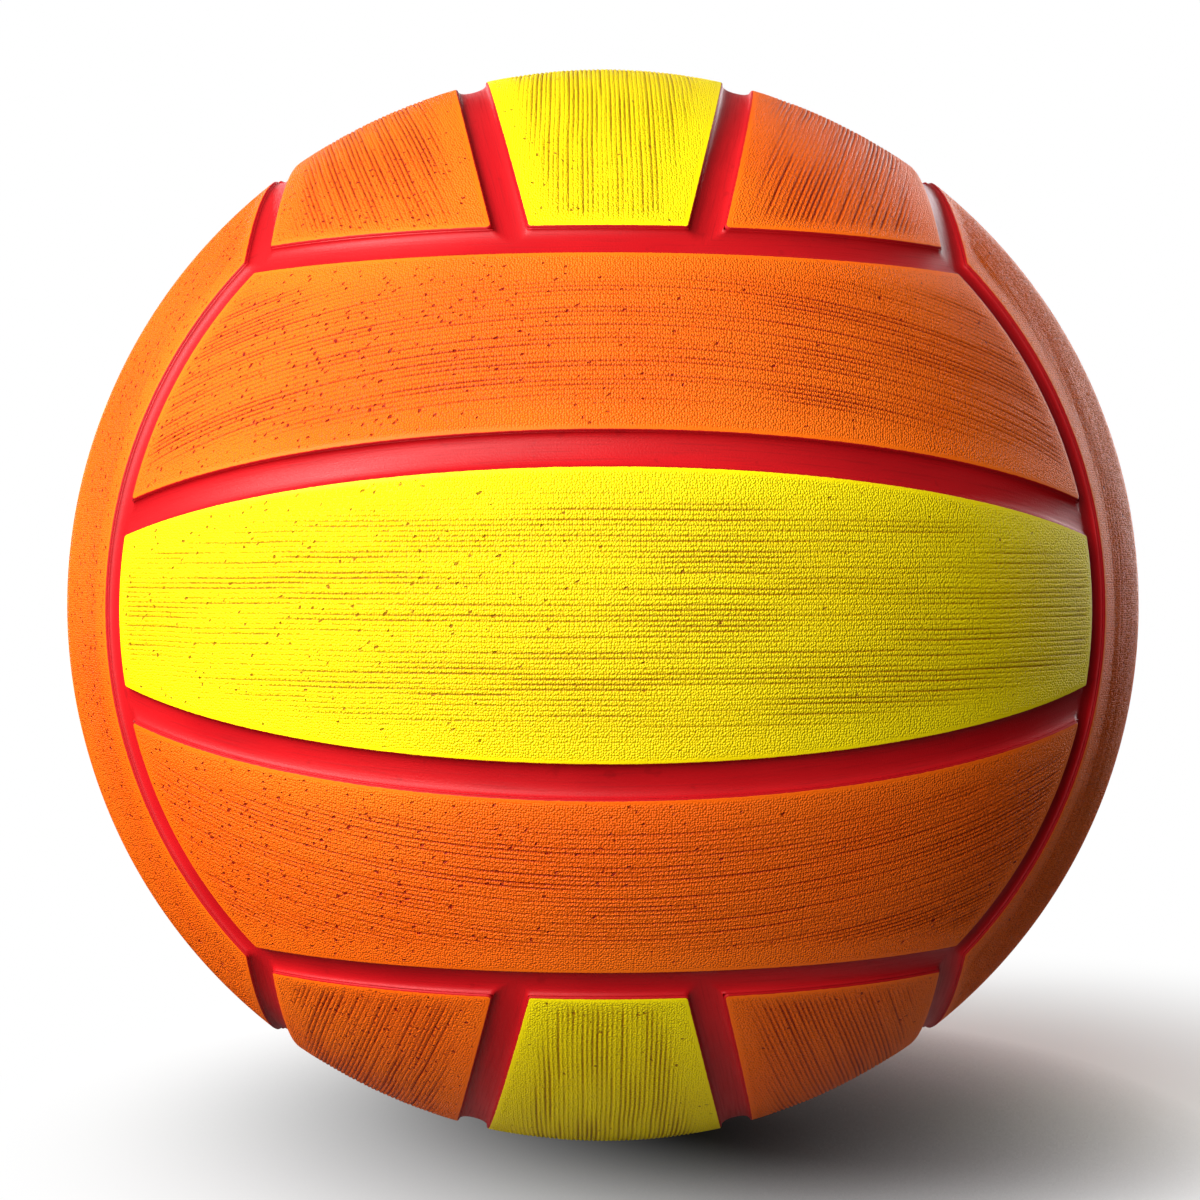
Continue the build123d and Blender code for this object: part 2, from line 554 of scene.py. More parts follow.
def linear(red: int, green: int, blue: int) -> Colour:
    """Turn a colour as a screen shows it, 0 to 255, into linear values by the screen's own curve."""
    shares = (value / 255 for value in (red, green, blue))
    lit = [s / 12.92 if s <= 0.04045 else ((s + 0.055) / 1.055) ** 2.4 for s in shares]
    return lit[0], lit[1], lit[2], 1.0


def grey(level: float) -> Colour:
    """A grey of a linear level."""
    return level, level, level, 1.0


@dataclass
class NodeSheet:
    """Adds and joins the nodes of one material or node group."""

    tree: NodeTree

    def fill(self, node: Node, inputs: dict[str | int, object]) -> None:
        """Give a node's inputs their values.

        Args:
            node: The node.
            inputs: Plain values, or sockets to join, by the input's name or number.
        """
        for name, value in inputs.items():
            if isinstance(value, NodeSocket):
                self.tree.links.new(value, node.inputs[name])
            else:
                node.inputs[name].default_value = value

    def add(self, kind: str, inputs: dict[str | int, object] | None = None, **settings: object) -> Node:
        """Add a node.

        Args:
            kind: The node's type.
            inputs: Values or sockets for its inputs, by name or number.
            settings: Values for the node's own settings.

        Returns:
            The node.
        """
        node = self.tree.nodes.new(kind)
        for name, value in settings.items():
            setattr(node, name, value)
        self.fill(node, inputs or {})
        return node

    def math(self, operation: str, *values: float | NodeSocket) -> NodeSocket:
        """Work out a value from up to three others."""
        return self.add("ShaderNodeMath", dict(enumerate(values)), operation=operation).outputs[0]

    def vector(self, operation: str, *values: Spot | NodeSocket) -> Node:
        """Work out a place or a distance from two places."""
        return self.add("ShaderNodeVectorMath", dict(enumerate(values)), operation=operation)

    def fade(self, value: NodeSocket, low: float, high: float) -> NodeSocket:
        """Rise smoothly from 0 at a low value to 1 at a high one, or fall where low is above."""
        inputs = {"Value": value, "From Min": low, "From Max": high}
        return self.add("ShaderNodeMapRange", inputs, interpolation_type="SMOOTHSTEP").outputs["Result"]

    def mix(self, factor: NodeSocket, low: Colour | NodeSocket, high: Colour | NodeSocket) -> NodeSocket:
        """Mix two colours."""
        inputs = {MIX_FACTOR: factor, MIX_LOW: low, MIX_HIGH: high}
        return self.add("ShaderNodeMix", inputs, data_type="RGBA").outputs[MIX_RESULT]

    def scale_for(self, size: NodeSocket) -> NodeSocket:
        """Scale that gives a pattern a size."""
        return self.math("DIVIDE", 1.0, size)

    def stretch(self, place: NodeSocket, scale: Spot | NodeSocket) -> NodeSocket:
        """Scale a place along its axes."""
        return self.vector("MULTIPLY", place, scale).outputs[0]

    def noise(
        self, place: NodeSocket, scale: float | NodeSocket, detail: float = 2.0, output: str = "Fac"
    ) -> NodeSocket:
        """Soft random value, or colour, over a place."""
        inputs = {"Vector": place, "Scale": scale, "Detail": detail}
        return self.add("ShaderNodeTexNoise", inputs).outputs[output]

    def cells(
        self, place: NodeSocket, size: NodeSocket, irregularity: float | NodeSocket = 1.0
    ) -> Node:
        """Cells of a size, scattered over a flat place."""
        inputs = {"Vector": place, "Scale": self.scale_for(size), "Randomness": irregularity}
        return self.add("ShaderNodeTexVoronoi", inputs, voronoi_dimensions="2D")

    def object_place(self) -> NodeSocket:
        """Place on the ball's own axes."""
        return self.add("ShaderNodeTexCoord").outputs["Object"]

    def bump(self, height: NodeSocket, relief: float, strength: float = 1.0) -> NodeSocket:
        """Normal of a surface that a height of 0 to 1 raises by up to a relief."""
        inputs = {"Height": height, "Strength": strength, "Distance": relief}
        return self.add("ShaderNodeBump", inputs).outputs["Normal"]


def new_material(name: str) -> tuple[Material, NodeSheet, Node]:
    """Start a material.

    Args:
        name: Name of the material.

    Returns:
        The material, its nodes and its shader.
    """
    material = bpy.data.materials.new(name)
    material.use_nodes = True
    sheet = NodeSheet(material.node_tree)
    return material, sheet, material.node_tree.nodes["Principled BSDF"]


class Effect(Enum):
    """Effects that several finishes share, each made once as a node group."""

    PEBBLES = "pebbles"
    GRAIN = "grain"
    MOTTLE = "mottle"

    def group(self) -> NodeTree:
        """The effect's node group, made when it is first asked for."""
        found = bpy.data.node_groups.get(self.value)
        if found is not None:
            return found
        tree = bpy.data.node_groups.new(self.value, "ShaderNodeTree")
        makers = {
            Effect.PEBBLES: make_pebbles,
            Effect.GRAIN: make_grain,
            Effect.MOTTLE: make_mottle,
        }
        makers[self](tree)
        return tree

    def place_in(self, sheet: NodeSheet, place: NodeSocket, values: dict[str, object]) -> Node:
        """Place the effect among a material's nodes, over a place and with its values."""
        return sheet.add("ShaderNodeGroup", {"Place": place} | values, node_tree=self.group())


def open_group(
    tree: NodeTree, values: tuple[str, ...], results: tuple[str, ...]
) -> tuple[NodeSheet, bpy.types.NodeOutputs, Node]:
    """Give a node group its sockets: a place, some values and its results.

    Args:
        tree: The group.
        values: Names of the values that it takes.
        results: Names of what it puts out.

    Returns:
        The group's nodes, the sockets of what it is given, and its output node.
    """
    tree.interface.new_socket("Place", in_out="INPUT", socket_type="NodeSocketVector")
    for name in values:
        tree.interface.new_socket(name, in_out="INPUT", socket_type="NodeSocketFloat")
    for name in results:
        tree.interface.new_socket(name, in_out="OUTPUT", socket_type="NodeSocketFloat")
    given = tree.nodes.new("NodeGroupInput").outputs
    return NodeSheet(tree), given, tree.nodes.new("NodeGroupOutput")


def make_pebbles(tree: NodeTree) -> None:
    """Rows of small rubber pebbles with gaps between them and a few pinholes.

    Args:
        tree: The empty node group.
    """
    names = ("Pebble Size", "Irregularity", "Pit Spacing", "Pit Share")
    sheet, given, put = open_group(tree, names, ("Height", "Gap", "Pit"))
    pebble_foot, pebble_crown, gap_start = 0.72, 0.05, 0.38
    warp_scale, warp_detail, slant, squeeze = 0.7, 1.0, 1.0, (1.0, 0.6, 1.0)
    least_pit, pit_spread, pit_edge, pit_floor = 0.4, 0.9, 0.2, 0.09
    place = given["Place"]
    pebble = sheet.cells(place, given["Pebble Size"], given["Irregularity"]).outputs["Distance"]
    warp = sheet.noise(place, warp_scale, warp_detail, "Color")
    turn = {"Vector": sheet.vector("ADD", warp, place).outputs[0], "Angle": slant}
    slanted = sheet.add("ShaderNodeVectorRotate", turn, rotation_type="Z_AXIS").outputs[0]
    holes = sheet.cells(sheet.stretch(slanted, squeeze), given["Pit Spacing"]).outputs
    luck = sheet.add("ShaderNodeSeparateColor", {"Color": holes["Color"]}).outputs
    chosen = sheet.math("LESS_THAN", luck["Red"], given["Pit Share"])
    size = sheet.math("MULTIPLY_ADD", luck["Green"], pit_spread, least_pit)
    dot = sheet.fade(sheet.math("DIVIDE", holes["Distance"], size), pit_edge, pit_floor)
    results = {
        "Height": sheet.fade(pebble, pebble_foot, pebble_crown),
        "Gap": sheet.fade(pebble, gap_start, pebble_foot),
        "Pit": sheet.math("MULTIPLY", chosen, dot),
    }
    sheet.fill(put, results)


def make_grain(tree: NodeTree) -> None:
    """Fine moulded grain with streaks along one direction.

    Args:
        tree: The empty node group.
    """
    names = ("Grain Size", "Streak Length", "Streak Width")
    sheet, given, put = open_group(tree, names, ("Grain", "Streak"))
    detail = 3.0
    size, along, across = (sheet.scale_for(given[name]) for name in names)
    lengths = sheet.add("ShaderNodeCombineXYZ", {"X": along, "Y": across, "Z": across}).outputs[0]
    grain = sheet.noise(given["Place"], size, detail)
    streak = sheet.noise(sheet.stretch(given["Place"], lengths), 1.0, detail)
    sheet.fill(put, {"Grain": grain, "Streak": streak})


def make_mottle(tree: NodeTree) -> None:
    """Slow changes of shade over the ball, and small worn flecks.

    Args:
        tree: The empty node group.
    """
    sheet, given, put = open_group(tree, ("Patch Size",), ("Shade", "Fleck"))
    broad_detail, fleck_detail, fleck_fineness = 4.0, 2.0, 9.0
    shade_band, fleck_band = (0.3, 0.7), (0.66, 0.74)
    scale = sheet.scale_for(given["Patch Size"])
    broad = sheet.noise(given["Place"], scale, broad_detail)
    small = sheet.noise(given["Place"], sheet.math("MULTIPLY", scale, fleck_fineness), fleck_detail)
    sheet.fill(put, {"Shade": sheet.fade(broad, *shade_band), "Fleck": sheet.fade(small, *fleck_band)})


@dataclass(frozen=True, kw_only=True)
class Finish:
    """What the ball's finishes share: three shades of a colour, a relief and the least roughness."""

    name: str
    base: Colour
    light: Colour
    # The shade colour is painted shade in the panels' grooves, gaps and pinholes, and the colour of
    # streaks and flecks in the other finishes.
    shade: Colour
    relief: float
    roughness: float
    roughness_spread: float


@dataclass(frozen=True, kw_only=True)
class PanelFinish(Finish):
    """Pebbled rubber of the cover panels.

    Painted shade darkens the grooves, the gaps between pebbles and the pinholes, and the seam
    colour has crept over the lip. Sizes of pebbles, pits, lip and creep are in millimetres, as the
    marks on the panels are.
    """

    slot: str
    seam: Colour
    pebble_size: float = 0.43
    irregularity: float = 0.7
    pit_spacing: float = 1.3
    pit_share: float = 0.5
    pit_depth: float = 1.2
    # How strongly painted shade darkens the gaps between pebbles, the grooves and the pinholes.
    gap_shade: float = 0.34
    groove_shade: float = 0.95
    pit_shade: float = 0.8
    flock_scale: float = 40.0
    flock_wander: float = 0.12
    flock_band: Band = (0.08, 0.0)
    flock_spread: float = 0.9
    flock_least: float = 0.06
    bare_lip: Band = (0.4, 1.6)
    creep_scale: float = 900.0
    creep_detail: float = 3.0
    creep_wander: float = 0.5
    creep_band: Band = (0.16, 0.02)
    patch_size: float = 0.05
    relief: float = 0.13 * MM
    roughness: float = 0.5
    roughness_spread: float = 0.08
    gloss: float = 0.14

    def flock(self, sheet: NodeSheet, place: NodeSocket) -> NodeSocket:
        """Gather the pinholes towards the left of the ball.

        Args:
            sheet: The material's nodes.
            place: Place on the ball.

        Returns:
            The share of the pinholes that show at that place.
        """
        side = sheet.add("ShaderNodeSeparateXYZ", {0: place}).outputs["X"]
        reach = sheet.math("MULTIPLY_ADD", sheet.noise(place, self.flock_scale), self.flock_wander, side)
        left = sheet.fade(reach, *self.flock_band)
        flock = sheet.math("MULTIPLY_ADD", left, self.flock_spread, self.flock_least)
        return sheet.math("MULTIPLY", flock, self.pit_share)

    def creep(self, sheet: NodeSheet, place: NodeSocket, rim: NodeSocket) -> NodeSocket:
        """Let the seam colour creep over the lip with a ragged edge.

        Args:
            sheet: The material's nodes.
            place: Place on the ball.
            rim: Distance from the panel's wall.

        Returns:
            The share of the seam colour.
        """
        ragged = sheet.noise(place, self.creep_scale, self.creep_detail)
        ragged = sheet.math("MULTIPLY_ADD", ragged, self.creep_wander, -self.creep_wander / 2)
        return sheet.fade(sheet.math("ADD", rim, ragged), *self.creep_band)

    def material(self) -> Material:
        """Make the finish as a material.

        Returns:
            The material.
        """
        material, sheet, shader = new_material(self.name)
        flat, groove_rim = (
            sheet.add("ShaderNodeAttribute", attribute_name=name).outputs["Vector"]
            for name in (CoverPanel.FLAT_NAME, CoverPanel.GROOVE_RIM_NAME)
        )
        # The groove depth feeds the painted shade below; the distance from the wall feeds the bare lip
        # and the seam colour's creep.
        marks = sheet.add("ShaderNodeSeparateXYZ", {0: groove_rim}).outputs
        groove, rim = marks["X"], marks["Y"]
        place = sheet.object_place()
        values = {
            "Pebble Size": self.pebble_size,
            "Irregularity": self.irregularity,
            "Pit Spacing": self.pit_spacing,
            "Pit Share": self.flock(sheet, place),
        }
        pebbles = Effect.PEBBLES.place_in(sheet, flat, values).outputs
        mottle = Effect.MOTTLE.place_in(sheet, place, {"Patch Size": self.patch_size}).outputs["Shade"]
        grained = sheet.fade(rim, *self.bare_lip)
        gap, pit, height = (
            sheet.math("MULTIPLY", pebbles[name], grained) for name in ("Gap", "Pit", "Height")
        )
        # Painted shade: the grooves, the gaps between pebbles and the pinholes are darkened towards the
        # shade colour, over their real relief.
        painted_shade = sheet.math("MULTIPLY", groove, self.groove_shade)
        painted_shade = sheet.math("MULTIPLY_ADD", gap, self.gap_shade, painted_shade)
        painted_shade = sheet.math("MINIMUM", sheet.math("MULTIPLY_ADD", pit, self.pit_shade, painted_shade), 1.0)
        colour = sheet.mix(painted_shade, sheet.mix(mottle, self.base, self.light), self.shade)
        height = sheet.math("MULTIPLY_ADD", pit, -self.pit_depth, height)
        inputs = {
            "Base Color": sheet.mix(self.creep(sheet, place, rim), colour, self.seam),
            "Roughness": sheet.math("MULTIPLY_ADD", mottle, self.roughness_spread, self.roughness),
            "Specular IOR Level": self.gloss,
            "Normal": sheet.bump(height, self.relief),
        }
        sheet.fill(shader, inputs)
        return material


@dataclass(frozen=True, kw_only=True)
class GrainedFinish(Finish):
    """What the finishes with a fine grain and streaks share."""

    grain_size: float
    streak_length: float
    streak_width: float
    streak_band: Band
    bump_strength: float

    def grain(self, sheet: NodeSheet, place: NodeSocket) -> tuple[NodeSocket, NodeSocket]:
        """Lay the grain over a place.

        Args:
            sheet: The material's nodes.
            place: The place, in the unit of the grain's sizes.

        Returns:
            The grain and its streaks.
        """
        values = {
            "Grain Size": self.grain_size,
            "Streak Length": self.streak_length,
            "Streak Width": self.streak_width,
        }
        effect = Effect.GRAIN.place_in(sheet, place, values).outputs
        return effect["Grain"], effect["Streak"]


@dataclass(frozen=True, kw_only=True)
class ChannelFinish(GrainedFinish):
    """Red rubber of the channels, with grain and streaks along the seams, both in millimetres."""

    slot: str
    run_size: Spot
    grain_size: float = 0.3
    streak_length: float = 14.0
    streak_width: float = 0.28
    streak_band: Band = (0.5, 0.72)
    streak_shade: float = 0.28
    streak_height: float = 0.6
    fleck_shade: float = 0.25
    patch_size: float = 0.03
    relief: float = 0.06 * MM
    bump_strength: float = 0.7
    roughness: float = 0.32
    roughness_spread: float = 0.25
    gloss: float = 0.2

    def material(self) -> Material:
        """Make the finish as a material.

        Returns:
            The material.
        """
        material, sheet, shader = new_material(self.name)
        mapped = sheet.add("ShaderNodeUVMap", uv_map=SeamCarcass.RUN_NAME).outputs["UV"]
        grain, streak = self.grain(sheet, sheet.stretch(mapped, self.run_size))
        values = {"Patch Size": self.patch_size}
        mottle = Effect.MOTTLE.place_in(sheet, sheet.object_place(), values).outputs
        colour = sheet.mix(mottle["Shade"], self.base, self.light)
        streaks = sheet.math("MULTIPLY", sheet.fade(streak, *self.streak_band), self.streak_shade)
        flecks = sheet.math("MULTIPLY", mottle["Fleck"], self.fleck_shade)
        for marks in (streaks, flecks):
            colour = sheet.mix(marks, colour, self.shade)
        height = sheet.math("MULTIPLY_ADD", streak, self.streak_height, grain)
        inputs = {
            "Base Color": colour,
            "Roughness": sheet.math("MULTIPLY_ADD", streak, self.roughness_spread, self.roughness),
            "Specular IOR Level": self.gloss,
            "Normal": sheet.bump(height, self.relief, self.bump_strength),
        }
        sheet.fill(shader, inputs)
        return material


@dataclass(frozen=True, kw_only=True)
class MouldedFinish(GrainedFinish):
    """Plain moulded rubber, or layers of thread, with grain on the ball's own axes."""

    grain_size: float = 0.25 * MM
    streak_length: float = 4 * MM
    streak_width: float = 0.6 * MM
    streak_band: Band = (0.5, 0.75)
    relief: float = 0.04 * MM
    bump_strength: float = 0.6
    roughness: float = 0.4
    roughness_spread: float = 0.2

    def material(self) -> Material:
        """Make the finish as a material.

        Returns:
            The material.
        """
        material, sheet, shader = new_material(self.name)
        grain, streak = self.grain(sheet, sheet.object_place())
        colour = sheet.mix(grain, self.base, self.light)
        inputs = {
            "Base Color": sheet.mix(sheet.fade(streak, *self.streak_band), colour, self.shade),
            "Roughness": sheet.math("MULTIPLY_ADD", grain, self.roughness_spread, self.roughness),
            "Normal": sheet.bump(grain, self.relief, self.bump_strength),
        }
        sheet.fill(shader, inputs)
        return material


@dataclass
class CoverPanel:
    """A cover panel: a pebbled sheet in rows, with a rounded lip and a wall down to its bed."""

    FLAT_NAME = "flat_mm"
    GROOVE_RIM_NAME = "groove_rim"

    strip: Strip
    thickness: float = 1.5 * MM
    lip: float = 0.45 * MM
    lip_steps: int = 4
    corner_radius: float = 0.45 * MM
    corner_cuts: int = 3
    row_pitch: float = 0.86 * MM
    lines_per_row: int = 4
    along_step: float = 1.0 * MM
    underside_coarser: int = 4
    groove_depth: float = 0.26 * MM
    groove_sharpness: float = 1.5
    groove_knot: float = 21 * MM
    least_depth: float = 0.45
    depth_band: Band = (0.2, 0.85)
    patch_knot: float = 21 * MM
    least_strength: float = 0.7
    strength_band: Band = (0.15, 0.7)
    wander: float = 0.1 * MM
    fixed_rim: float = 0.5 * MM
    steady_rim: Band = (1 * MM, 3 * MM)
    plain_band: Band = (2.5 * MM, 8 * MM)
    plain_end: Band = (1.2 * MM, 4.5 * MM)
    flat_reach: float = 130 * MM
    weld: float = 0.01 * MM
    on_edge: float = 0.02 * MM
    map_along: Band = (0.01, 0.98)
    map_top: Band = (0.01, 0.81)
    map_under: Band = (0.84, 0.15)
    seed: int = 0
    valve: "ValveSeat | None" = None
    cuts: list[tuple[Edge, Vector]] = field(default_factory=list)

    @property
    def top_gap(self) -> float:
        """Distance from the middle of a seam to where the lip starts."""
        return self.strip.layout.panel_gap + self.lip

    @property
    def grid_steps(self) -> Band:
        """Spacing of the sheet's grid along and across its rows."""
        return self.along_step, self.row_pitch / self.lines_per_row

    @property
    def corner_reach(self) -> float:
        """Distance from a corner that holds all its cuts."""
        return 3 * self.corner_radius

    def build(self) -> BMesh:
        """Model the panel as a closed sheet.

        Returns:
            Its bmesh, with the rows pressed in and the marks for its finish on it.
        """
        bm = self.strip.patch(self.strip.layout.ball_radius, self.top_gap, self.grid_steps)
        self.round_corners(bm)
        bmesh.ops.remove_doubles(bm, verts=bm.verts[:], dist=self.weld)
        self.press_rows(bm)
        self.turn_lip(bm)
        return bm

    def round_corners(self, bm: BMesh) -> None:
        """Cut each corner to a small arc and remember the cuts as edges.

        Args:
            bm: The panel's sheet.
        """
        for corner, first, second in self.strip.corners(self.strip.layout.ball_radius, self.top_gap):
            ways = (first.outward(corner), second.outward(corner))
            middle = corner - (ways[0] + ways[1]) * (self.corner_radius / (1 + ways[0].dot(ways[1])))
            tip = geometry_round(bm, corner, self.corner_reach)
            for cut in range(1, self.corner_cuts + 1):
                way = ways[0].slerp(ways[1], cut / (self.corner_cuts + 1))
                edge = Edge(way, way.dot(middle) + self.corner_radius)
                tip = trim(bm, edge, tip)
                self.cuts.append((edge, corner))

    def press_rows(self, bm: BMesh) -> None:
        """Press irregular rows of grooves into the sheet and mark it for its finish.

        Args:
            bm: The panel's sheet.
        """
        radius = self.strip.layout.ball_radius
        places = places_of(bm)
        flat = self.strip.flat(places)
        sides, ends = self.strip.clear_of_edges(places)
        clear = np.minimum(sides, ends)
        depth = self.row_depth(flat, sides, ends)
        shifted = self.strip.wrap(flat + self.row_wander(flat, clear), 1.0)
        moved = np.where(clear[:, None] > self.fixed_rim, shifted, places / radius)
        move_all(bm, moved * (radius - depth * self.groove_depth)[:, None])
        flat_layer = bm.verts.layers.float_vector.new(self.FLAT_NAME)
        groove_rim_layer = bm.verts.layers.float_vector.new(self.GROOVE_RIM_NAME)
        # Each vertex keeps its flat place, its groove depth, which the finish darkens as painted shade,
        # and its distance from the wall.
        for vert, spread, groove, rim in zip(bm.verts, flat / MM, depth, clear / MM):
            vert[flat_layer] = (spread[0], spread[1], 0.0)
            vert[groove_rim_layer] = (groove, rim, 0.0)

    def knots(self, spacing: float) -> int:
        """Number of random knots at a spacing that span the panel."""
        return int(2 * self.flat_reach / spacing) + SPARE_KNOTS

    def row_depth(self, flat: np.ndarray, sides: np.ndarray, ends: np.ndarray) -> np.ndarray:
        """Depth of the grooves, from 0 to 1.

        Args:
            flat: Places along and across the rows.
            sides: Distances from the long walls.
            ends: Distances from the end walls.

        Returns:
            One depth to a place.
        """
        random = np.random.default_rng(self.seed)
        rows = np.rint(flat[:, 1] / self.row_pitch)
        phase = flat[:, 1] / self.row_pitch - rows
        profile = (0.5 + 0.5 * np.cos(2 * np.pi * phase)) ** self.groove_sharpness
        row_count = self.knots(self.row_pitch)
        each = random.random((self.knots(self.groove_knot), row_count))
        depth = drift(each, (flat[:, 0] + self.flat_reach) / self.groove_knot, rows + row_count // 2)
        depth = smooth_step(*self.depth_band, depth)
        depth = self.least_depth + (1 - self.least_depth) * depth
        size = self.knots(self.patch_knot)
        patches = random.random((size, 2 * size))
        spot = (flat + self.flat_reach) / self.patch_knot
        strength = smooth_step(*self.strength_band, drift(patches, spot[:, 0], 2 * spot[:, 1]))
        strength = self.least_strength + (1 - self.least_strength) * strength
        bands = smooth_step(*self.plain_band, sides) * smooth_step(*self.plain_end, ends)
        if self.valve is not None:
            away = self.valve.distance(self.strip.wrap(flat, 1.0))
            bands = bands * smooth_step(*self.valve.plain_ring, away)
        return profile * depth * strength * bands

    def row_wander(self, flat: np.ndarray, clear: np.ndarray) -> np.ndarray:
        """Sideways drift of the rows, which are not quite straight.

        Args:
            flat: Places along and across the rows.
            clear: Distances from the nearest wall.

        Returns:
            Shifts along and across the rows, one pair to a place.
        """
        random = np.random.default_rng(self.seed)
        size = 2 * self.knots(self.patch_knot)
        table = random.random((size, size)) - 0.5
        spot = 2 * (flat + self.flat_reach) / self.patch_knot
        swing = drift(table, spot[:, 0], spot[:, 1]) * smooth_step(*self.steady_rim, clear)
        return np.column_stack((np.zeros_like(swing), swing * 2 * self.wander))

    def way_out(self, point: Vector) -> Vector:
        """Find the direction out of the sheet at a point of its rim.

        Args:
            point: The point.

        Returns:
            The direction, with a length that moves each edge there by one unit.
        """
        edges = list(self.strip.edges(self.strip.layout.ball_radius, self.top_gap))
        edges += [cut for cut, corner in self.cuts if (corner - point).length < self.corner_reach]
        on = [edge for edge in edges if abs(edge.normal.dot(point) - edge.offset) < self.on_edge]
        ways = [edge.outward(point) for edge in on]
        spread = sum(ways, Vector())
        return spread * (len(ways) / spread.length_squared)

    def turn_lip(self, bm: BMesh) -> None:
        """Turn the rim over a rounded lip, drop it to the bed and close it underneath.

        Args:
            bm: The panel's sheet.
        """
        radius = self.strip.layout.ball_radius
        groove_rim_layer = bm.verts.layers.float_vector[self.GROOVE_RIM_NAME]
        loop = rim_loop(bm)
        starts = [vert.co.copy() for vert in loop]
        ways = [self.way_out(start) for start in starts]
        turns = [math.pi / 2 * (step + 1) / self.lip_steps for step in range(self.lip_steps)]
        profile = [(self.lip * math.sin(turn), self.lip * (1 - math.cos(turn))) for turn in turns]
        profile.append((self.lip, self.thickness))
        for reach, drop in profile:
            loop = extrude_loop(bm, loop)
            for vert, start, way in zip(loop, starts, ways):
                vert.co = (start + way * reach).normalized() * (radius - drop)
                vert[groove_rim_layer] = (0.0, -drop / MM, 0.0)
        self.close_underside(bm, loop)

    def close_underside(self, bm: BMesh, loop: list[BMVert]) -> None:
        """Close the sheet with a coarser patch on its bed.

        Args:
            bm: The panel's bmesh.
            loop: The foot of its wall.
        """
        layout = self.strip.layout
        along, across = (self.underside_coarser * step for step in self.grid_steps)
        bed = self.strip.patch(layout.ball_radius - self.thickness, layout.panel_gap, (along, across))
        bmesh.ops.reverse_faces(bed, faces=bed.faces[:])
        spare = mesh_from(bed, "bed")
        known = set(bm.edges)
        bm.from_mesh(spare)
        bpy.data.meshes.remove(spare)
        bed_rim = [edge for edge in bm.edges if edge not in known and edge.is_boundary]
        foot = [bm.edges.get(pair) for pair in ring_pairs(loop)]
        bmesh.ops.bridge_loops(bm, edges=foot + bed_rim)
        bmesh.ops.recalc_face_normals(bm, faces=bm.faces[:])

    def spread_map(self, bm: BMesh) -> None:
        """Give the panel a map: its top along the rows, and its underside in a band beside it.

        Args:
            bm: The finished panel.
        """
        layer = bm.loops.layers.uv.new("panel_map")
        flat = self.strip.flat(places_of(bm))
        low, high = flat.min(axis=0), flat.max(axis=0)
        share = (flat - low) / (high - low)
        bm.verts.index_update()
        half_way = self.strip.layout.ball_radius - self.thickness / 2
        start, span = self.map_along
        for face in bm.faces:
            under = max(loop.vert.co.length for loop in face.loops) < half_way
            band_start, band_span = self.map_under if under else self.map_top
            for loop in face.loops:
                along, across = share[loop.vert.index]
                loop[layer].uv = (start + span * along, band_start + band_span * across)


